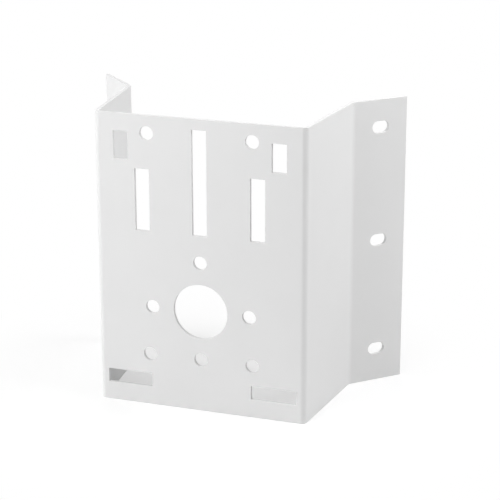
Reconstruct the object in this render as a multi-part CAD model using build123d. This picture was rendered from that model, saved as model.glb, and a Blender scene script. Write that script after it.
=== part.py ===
from build123d import *
from math import cos, radians, sin, tan
import os

# Corner bracket for a camera: one steel sheet, cut flat and folded four times.
# It straddles the outside corner of a building. The flanges lie on the two walls,
# and the plate stands out in front of the corner and carries the camera.
# Millimetres and degrees. +Z is up, -Y is the side that faces the viewer, and the
# origin is at the middle of the bracket's footprint.

# The sheet and its folds
sheet = 2.5
height = 200.0
plate_width = 145.0
web_depth = 76.5
web_flare = 6.0
flange_length = 41.0
flange_angle = 45.0
front_bend_radius = 1.5
wall_bend_radius = 6.0

# Holes that carry the camera or its junction box
cable_hole_diameter = 37.5
cable_hole_height = 70.0
camera_circle_diameter = 67.5
bolt_hole_diameter = 9.3
bolt_column_spacing = 72.0
top_row_drop = 12.0

# Slots in the plate for pole bands and cable ties. A base is measured up from the
# bottom edge, and a drop is measured down from the top edge.
band_slot_width = 10.0
band_slot_base = 122.1
centre_slot_drop = 7.2
side_slot_drop = 35.9
side_slot_offset = 39.75
corner_slot_drop = 11.7
corner_slot_length = 19.0
corner_slot_offset = 54.2
foot_slot_base = 12.7
foot_slot_width = 9.5
foot_slot_length = 31.5
foot_slot_offset = 50.8

# Slots in the flanges for the wall screws
wall_slot_width = 8.2
wall_slot_length = 12.5
wall_slot_margin = 20.0
wall_slot_base = 23.2
wall_slot_drop = 18.8
wall_slot_count = 3

# Places that follow from the sizes above
flange_run = flange_length * cos(radians(flange_angle))
flange_rise = flange_length * sin(radians(flange_angle))
edge_rise = sheet * cos(radians(flange_angle))
front = -(web_depth + flange_rise + edge_rise) / 2
bend_corner = Vector(plate_width / 2, front)
wall_corner = bend_corner + Vector(web_depth * tan(radians(web_flare)), web_depth)
flange_tip = wall_corner + Vector(flange_run, flange_rise)
bottom_row_height = cable_hole_height - camera_circle_diameter / 2
top_row_height = height - top_row_drop
wall_slot_pitch = (height - wall_slot_drop - wall_slot_base) / (wall_slot_count - 1)


def opposite(point):
    """The same point on the other side of the bracket."""
    return Vector(-point.X, point.Y)


def folded_sheet():
    """The sheet seen from above, with its four bends, raised to its height."""
    right_side = [bend_corner, wall_corner, flange_tip]
    left_side = [opposite(point) for point in reversed(right_side)]
    outer_front_radius = front_bend_radius + sheet
    bends = [wall_bend_radius, outer_front_radius, outer_front_radius, wall_bend_radius]
    camera_side = FilletPolyline(*left_side, *right_side, radius=bends)
    section = make_face(offset(camera_side, amount=sheet, side=Side.LEFT))
    return extrude(section, amount=height)


def on_both_sides(shape, offset_from_middle):
    """A hole and its mirror image in the plate."""
    return [Pos(side * offset_from_middle, 0) * shape for side in (-1, 1)]


def standing_slot(base, drop):
    """An upright slot between two heights of the plate."""
    length = height - drop - base
    return Pos(0, base) * Rectangle(band_slot_width, length, align=(Align.CENTER, Align.MIN))


def camera_holes():
    """The cable hole, and the bolt circle round it."""
    centre = Pos(0, cable_hole_height)
    bolt_hole = Circle(bolt_hole_diameter / 2)
    bolts = PolarLocations(camera_circle_diameter / 2, 4)
    return [centre * Circle(cable_hole_diameter / 2)] + [centre * place * bolt_hole for place in bolts]


def corner_bolt_holes():
    """Two rows of bolt holes, the lower one level with the bolt circle's lowest hole."""
    holes = []
    for row_height in (bottom_row_height, top_row_height):
        bolt_hole = Pos(0, row_height) * Circle(bolt_hole_diameter / 2)
        holes += on_both_sides(bolt_hole, bolt_column_spacing / 2)
    return holes


def band_slots():
    """Upright slots in the upper half, and a lying slot in each lower corner."""
    corner_slot_base = height - corner_slot_drop - corner_slot_length
    foot_slot = Pos(0, foot_slot_base) * Rectangle(
        foot_slot_length, foot_slot_width, align=(Align.CENTER, Align.MIN)
    )
    slots = [standing_slot(band_slot_base, centre_slot_drop)]
    slots += on_both_sides(standing_slot(band_slot_base, side_slot_drop), side_slot_offset)
    slots += on_both_sides(standing_slot(corner_slot_base, corner_slot_drop), corner_slot_offset)
    slots += on_both_sides(foot_slot, foot_slot_offset)
    return slots


def plate_cutters():
    """A cutter for each hole in the plate, long enough to pass through it."""
    plate_face = Plane(origin=(0, front, 0), x_dir=(1, 0, 0), z_dir=(0, -1, 0))
    openings = camera_holes() + corner_bolt_holes() + band_slots()
    return [extrude(plate_face * opening, amount=2 * sheet, both=True) for opening in openings]


def flange_cutters():
    """A cutter for each screw slot in the right flange, square to its face."""
    along = Vector(cos(radians(flange_angle)), sin(radians(flange_angle)))
    outward = Vector(along.Y, -along.X)
    flange_face = Plane(origin=flange_tip, x_dir=along, z_dir=outward)
    slot = SlotOverall(wall_slot_length, wall_slot_width)
    heights = [wall_slot_base + row * wall_slot_pitch for row in range(wall_slot_count)]
    return [
        extrude(flange_face * Pos(-wall_slot_margin, slot_height) * slot, amount=2 * sheet, both=True)
        for slot_height in heights
    ]


def corner_bracket():
    """The folded sheet with its holes."""
    right_slots = flange_cutters()
    left_slots = [mirror(slot, about=Plane.YZ) for slot in right_slots]
    return folded_sheet() - plate_cutters() - right_slots - left_slots


os.makedirs("parts", exist_ok=True)
export_step(corner_bracket(), "parts/corner_bracket.step")
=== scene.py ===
from math import cos, radians, sin

import bpy
from mathutils import Matrix, Vector

# The looks of the corner bracket: one folded steel sheet with a satin white powder
# coat, on a pale floor in soft studio light. Metres, in the frame of the CAD model.
# A direction is an azimuth and an elevation in degrees. Azimuth 0 is in front of the
# plate, on -Y, and 90 is on +X.

# Camera
CAMERA_PLACE = (0.38797, -1.07436, 0.46698)
CAMERA_AZIMUTH = 19.0966
CAMERA_ELEVATION = 17.9744
CAMERA_ROLL = -0.1064
CAMERA_LENS = 127.1976
SENSOR_WIDTH = 36.0

# Edges of the sheet. The coat rounds them by a little more than its own thickness.
# Edges sharper than EDGE_ANGLE are rounded, and faces that meet at less than
# FLAT_ANGLE are joined first.
EDGE_RADIUS = 0.00013
EDGE_SEGMENTS = 3
EDGE_ANGLE = 40.0
FLAT_ANGLE = 0.5
WELD_DISTANCE = 1e-7
NORMAL_WEIGHT = 100

# Powder coat: its tone, its gloss, and the waves in them and in its surface. The
# wavelengths and heights are about those of a real coat, and a detail is a number of
# octaves.
COAT_COLOUR_LOW = (0.775, 0.775, 0.775, 1.0)
COAT_COLOUR_HIGH = (0.805, 0.805, 0.805, 1.0)
COAT_ROUGHNESS_LOW = 0.40
COAT_ROUGHNESS_HIGH = 0.50
COAT_IOR = 1.5
CLOUD_WAVELENGTH = 0.030
CLOUD_DETAIL = 3.0
PEEL_WAVELENGTH = 0.0016
PEEL_DETAIL = 1.0
PEEL_HEIGHT = 0.000006
GRAIN_WAVELENGTH = 0.0004
GRAIN_DETAIL = 2.0
GRAIN_HEIGHT = 0.000001

# Floor and background. The paper fades to the white background between two distances
# from its middle.
FLOOR_SIZE = 40.0
FLOOR_COLOUR = (0.85, 0.85, 0.85, 1.0)
FLOOR_GLOW = 0.23
FADE_START = 0.05
FADE_END = 0.22
BACKGROUND_WHITE = 1.0
AMBIENT_LIGHT = 0.19

# Soft boxes: name, azimuth, elevation, distance, size and watts
LAMPS = [
    ("key_left", -60.0, 12.0, 1.6, 0.8, 10.7),
    ("low_front", -27.0, 12.0, 0.7, 0.5, 1.0),
    ("high_front", -10.0, 65.0, 0.7, 0.5, 1.5),
    ("right", 96.0, 38.0, 0.75, 0.5, 3.2),
    ("back_left", -150.0, 45.0, 1.6, 0.8, 4.3),
    ("back_low", 180.0, 10.0, 1.6, 0.8, 2.6),
]
LAMP_TARGET = Vector((0.0, 0.0, 0.1))


def direction(azimuth, elevation):
    """The unit vector from the object towards a direction."""
    turn = radians(azimuth)
    lift = radians(elevation)
    return Vector((sin(turn) * cos(lift), -cos(turn) * cos(lift), sin(lift)))


def add_camera():
    """The camera at the photograph's place and angle."""
    data = bpy.data.cameras.new("camera")
    data.sensor_width = SENSOR_WIDTH
    data.lens = CAMERA_LENS
    camera = bpy.data.objects.new("camera", data)
    turn = Matrix.Rotation(radians(CAMERA_AZIMUTH), 4, "Z")
    tilt = Matrix.Rotation(radians(90.0 - CAMERA_ELEVATION), 4, "X")
    roll = Matrix.Rotation(radians(CAMERA_ROLL), 4, "Z")
    camera.matrix_world = Matrix.Translation(CAMERA_PLACE) @ turn @ tilt @ roll
    bpy.context.scene.collection.objects.link(camera)
    bpy.context.scene.camera = camera


def add_lamp(name, azimuth, elevation, distance, size, watts):
    """One square soft box that faces the object, and that no camera sees."""
    data = bpy.data.lights.new(name, "AREA")
    data.size = size
    data.energy = watts
    lamp = bpy.data.objects.new(name, data)
    lamp.visible_camera = False
    towards = direction(azimuth, elevation)
    lamp.location = LAMP_TARGET + towards * distance
    lamp.rotation_mode = "QUATERNION"
    lamp.rotation_quaternion = (-towards).to_track_quat("-Z", "Y")
    bpy.context.scene.collection.objects.link(lamp)


def seen_directly(nodes, links):
    """1 for rays that show the background itself, 0 for those that light the object."""
    path = nodes.new("ShaderNodeLightPath")
    seen = path.outputs["Is Camera Ray"]
    for name in ("Is Glossy Ray", "Is Transmission Ray"):
        either = nodes.new("ShaderNodeMath")
        either.operation = "MAXIMUM"
        links.new(seen, either.inputs[0])
        links.new(path.outputs[name], either.inputs[1])
        seen = either.outputs[0]
    return seen


def set_world():
    """An even grey room as light, with a white background."""
    world = bpy.data.worlds.new("studio")
    world.use_nodes = True
    nodes = world.node_tree.nodes
    links = world.node_tree.links
    nodes.clear()
    light = nodes.new("ShaderNodeBackground")
    light.inputs["Strength"].default_value = AMBIENT_LIGHT
    white = nodes.new("ShaderNodeBackground")
    white.inputs["Strength"].default_value = BACKGROUND_WHITE
    for background in (light, white):
        background.inputs["Color"].default_value = (1.0, 1.0, 1.0, 1.0)
    mix = nodes.new("ShaderNodeMixShader")
    links.new(seen_directly(nodes, links), mix.inputs[0])
    links.new(light.outputs[0], mix.inputs[1])
    links.new(white.outputs[0], mix.inputs[2])
    output = nodes.new("ShaderNodeOutputWorld")
    links.new(mix.outputs[0], output.inputs["Surface"])
    bpy.context.scene.world = world


def multiply(nodes, links, value, factor):
    """A value times a number or times another value."""
    product = nodes.new("ShaderNodeMath")
    product.operation = "MULTIPLY"
    links.new(value, product.inputs[0])
    if isinstance(factor, float):
        product.inputs[1].default_value = factor
    else:
        links.new(factor, product.inputs[1])
    return product.outputs[0]


def distance_fade(nodes, links):
    """0 near the middle of the floor and 1 far from it."""
    place = nodes.new("ShaderNodeTexCoord").outputs["Object"]
    distance = nodes.new("ShaderNodeVectorMath")
    distance.operation = "LENGTH"
    links.new(place, distance.inputs[0])
    fade = nodes.new("ShaderNodeMapRange")
    fade.interpolation_type = "SMOOTHSTEP"
    fade.inputs["From Min"].default_value = FADE_START
    fade.inputs["From Max"].default_value = FADE_END
    links.new(distance.outputs["Value"], fade.inputs["Value"])
    return fade.outputs["Result"]


def floor_material():
    """Pale matt paper that the camera sees as white, and that keeps the object's shadow."""
    material = bpy.data.materials.new("floor_paper")
    material.use_nodes = True
    nodes = material.node_tree.nodes
    links = material.node_tree.links
    nodes.clear()
    seen = seen_directly(nodes, links)
    paper = nodes.new("ShaderNodeBsdfDiffuse")
    paper.inputs["Color"].default_value = FLOOR_COLOUR
    strength = multiply(nodes, links, seen, FLOOR_GLOW)
    glow = nodes.new("ShaderNodeEmission")
    links.new(strength, glow.inputs["Strength"])
    near = nodes.new("ShaderNodeAddShader")
    links.new(paper.outputs[0], near.inputs[0])
    links.new(glow.outputs[0], near.inputs[1])
    far = nodes.new("ShaderNodeEmission")
    far.inputs["Strength"].default_value = BACKGROUND_WHITE
    fade = multiply(nodes, links, seen, distance_fade(nodes, links))
    mix = nodes.new("ShaderNodeMixShader")
    links.new(fade, mix.inputs[0])
    links.new(near.outputs[0], mix.inputs[1])
    links.new(far.outputs[0], mix.inputs[2])
    output = nodes.new("ShaderNodeOutputMaterial")
    links.new(mix.outputs[0], output.inputs["Surface"])
    return material


def add_floor():
    """A wide flat floor, level with the bracket's bottom edges."""
    half = FLOOR_SIZE / 2
    corners = [(-half, -half, 0.0), (half, -half, 0.0), (half, half, 0.0), (-half, half, 0.0)]
    mesh = bpy.data.meshes.new("floor")
    mesh.from_pydata(corners, [], [(0, 1, 2, 3)])
    mesh.materials.append(floor_material())
    floor = bpy.data.objects.new("floor", mesh)
    bpy.context.scene.collection.objects.link(floor)


def noise(nodes, links, place, wavelength, detail):
    """Smooth noise in the object's own space, from 0 to 1."""
    texture = nodes.new("ShaderNodeTexNoise")
    texture.inputs["Scale"].default_value = 1.0 / wavelength
    texture.inputs["Detail"].default_value = detail
    links.new(place, texture.inputs["Vector"])
    return texture.outputs["Fac"]


def bump(nodes, links, height, depth, normal=None):
    """A bump of the given real depth, on top of another one."""
    node = nodes.new("ShaderNodeBump")
    node.inputs["Strength"].default_value = 1.0
    node.inputs["Distance"].default_value = depth
    links.new(height, node.inputs["Height"])
    if normal is not None:
        links.new(normal, node.inputs["Normal"])
    return node.outputs["Normal"]


def powder_coat_material():
    """Satin white powder coat: faint clouds in tone and gloss, and a fine orange peel."""
    material = bpy.data.materials.new("satin_powder_coat")
    material.use_nodes = True
    nodes = material.node_tree.nodes
    links = material.node_tree.links
    nodes.clear()
    place = nodes.new("ShaderNodeTexCoord").outputs["Object"]
    clouds = noise(nodes, links, place, CLOUD_WAVELENGTH, CLOUD_DETAIL)
    peel = noise(nodes, links, place, PEEL_WAVELENGTH, PEEL_DETAIL)
    grain = noise(nodes, links, place, GRAIN_WAVELENGTH, GRAIN_DETAIL)

    colour = nodes.new("ShaderNodeMixRGB")
    colour.inputs["Color1"].default_value = COAT_COLOUR_LOW
    colour.inputs["Color2"].default_value = COAT_COLOUR_HIGH
    links.new(clouds, colour.inputs["Fac"])

    gloss = nodes.new("ShaderNodeMapRange")
    gloss.inputs["To Min"].default_value = COAT_ROUGHNESS_LOW
    gloss.inputs["To Max"].default_value = COAT_ROUGHNESS_HIGH
    links.new(clouds, gloss.inputs["Value"])

    shader = nodes.new("ShaderNodeBsdfPrincipled")
    shader.inputs["IOR"].default_value = COAT_IOR
    links.new(colour.outputs["Color"], shader.inputs["Base Color"])
    links.new(gloss.outputs[0], shader.inputs["Roughness"])
    surface = bump(nodes, links, peel, PEEL_HEIGHT)
    surface = bump(nodes, links, grain, GRAIN_HEIGHT, surface)
    links.new(surface, shader.inputs["Normal"])
    output = nodes.new("ShaderNodeOutputMaterial")
    links.new(shader.outputs[0], output.inputs["Surface"])
    return material


def round_the_edges(sheet):
    """Joins the model's triangles into whole faces, and rounds their sharp edges."""
    weld = sheet.modifiers.new("weld", "WELD")
    weld.merge_threshold = WELD_DISTANCE
    whole_faces = sheet.modifiers.new("whole_faces", "DECIMATE")
    whole_faces.decimate_type = "DISSOLVE"
    whole_faces.angle_limit = radians(FLAT_ANGLE)
    edges = sheet.modifiers.new("edges", "BEVEL")
    edges.width = EDGE_RADIUS
    edges.segments = EDGE_SEGMENTS
    edges.limit_method = "ANGLE"
    edges.angle_limit = radians(EDGE_ANGLE)
    edges.use_clamp_overlap = True
    smooth = sheet.modifiers.new("smooth", "WEIGHTED_NORMAL")
    smooth.mode = "FACE_AREA"
    smooth.weight = NORMAL_WEIGHT
    smooth.keep_sharp = False


def dress_bracket(sheet):
    """The powder coat and the rounded edges of the folded sheet."""
    sheet.data.materials.clear()
    sheet.data.materials.append(powder_coat_material())
    round_the_edges(sheet)


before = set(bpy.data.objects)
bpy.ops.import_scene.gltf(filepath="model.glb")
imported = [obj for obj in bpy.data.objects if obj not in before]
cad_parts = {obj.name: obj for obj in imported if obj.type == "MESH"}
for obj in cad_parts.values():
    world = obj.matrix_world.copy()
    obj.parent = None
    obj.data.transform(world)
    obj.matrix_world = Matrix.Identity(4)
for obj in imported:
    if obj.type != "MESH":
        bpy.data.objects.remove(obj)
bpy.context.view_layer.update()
dress_bracket(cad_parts["corner_bracket"])
add_floor()
set_world()
for lamp in LAMPS:
    add_lamp(*lamp)
add_camera()
bpy.context.scene.view_settings.view_transform = "Standard"
